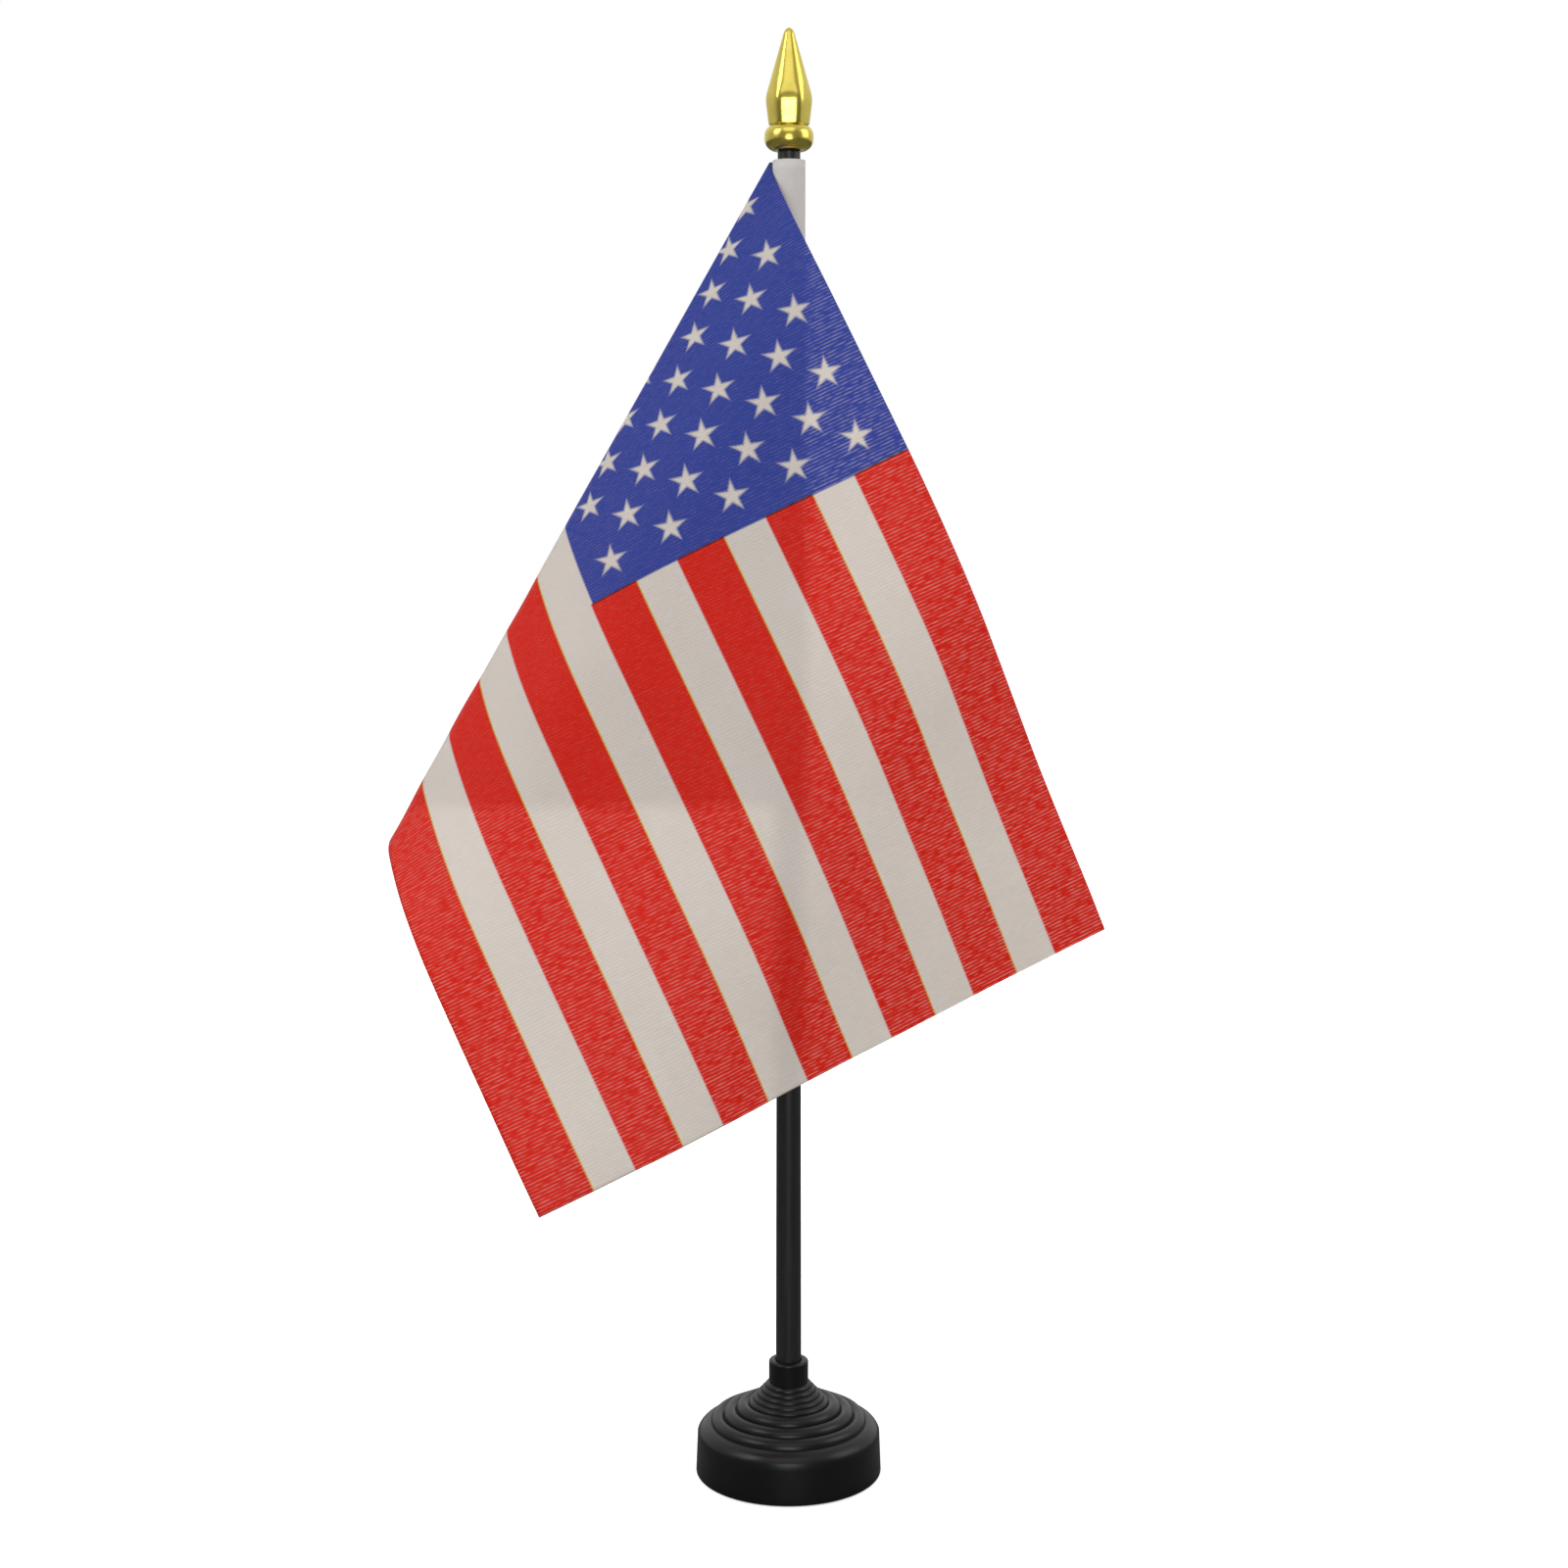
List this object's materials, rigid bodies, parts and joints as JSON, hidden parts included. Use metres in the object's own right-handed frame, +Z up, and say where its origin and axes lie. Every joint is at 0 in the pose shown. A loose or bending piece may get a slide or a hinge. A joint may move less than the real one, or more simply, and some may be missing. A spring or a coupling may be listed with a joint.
{
  "type": "desk flag stand",
  "caption": "Small desk flag: printed cloth flag on a tapered stick with a faceted spearhead finial, held upright in a round stepped base.",
  "frame": {"origin": "centre of the underside, on the pad's lower face", "axes": "+Z up along the stick; the flag's front layer faces -Y, its fold points to -X and its free end to +X"},
  "size_m": [0.1574, 0.0912, 0.334],
  "materials": {
    "base_plastic": "moulded ABS, satin black",
    "ballast_steel": "zinc-plated steel",
    "pad_foam": "non-slip EVA sheet, matt black",
    "pole_plastic": "moulded polystyrene, satin black",
    "plated_gold": "vacuum-plated gold on moulded plastic",
    "white_cloth": "unprinted polyester satin",
    "printed_cloth": "polyester satin printed with stripes and stars",
    "thread": "white polyester sewing thread"
  },
  "bodies": {
    "base": {"base_shell": "base_plastic", "ballast_disc": "ballast_steel", "base_pad": "pad_foam"},
    "pole": {"pole": "pole_plastic"},
    "finial": {"finial": "plated_gold"},
    "sleeve": {"flag_sleeve": "white_cloth"},
    "flag": {"flag_cloth": "printed_cloth", "seam_stitches": "thread"}
  },
  "joints": [
    {"name": "pole_lift", "type": "slide", "parent": "base", "child": "pole", "axis": [0, 0, 1], "range_m": [0, 0.026]},
    {"name": "finial_pull", "type": "slide", "parent": "pole", "child": "finial", "axis": [0, 0, 1], "range_m": [0, 0.012]},
    {"name": "flag_slide", "type": "slide", "parent": "pole", "child": "sleeve", "axis": [0, 0, 1], "range_m": [-0.05, 0]},
    {"name": "flag_turn", "type": "hinge", "parent": "sleeve", "child": "flag", "pos_m": [0, 0, 0.235], "axis": [0, 0, 1], "continuous": true}
  ]
}
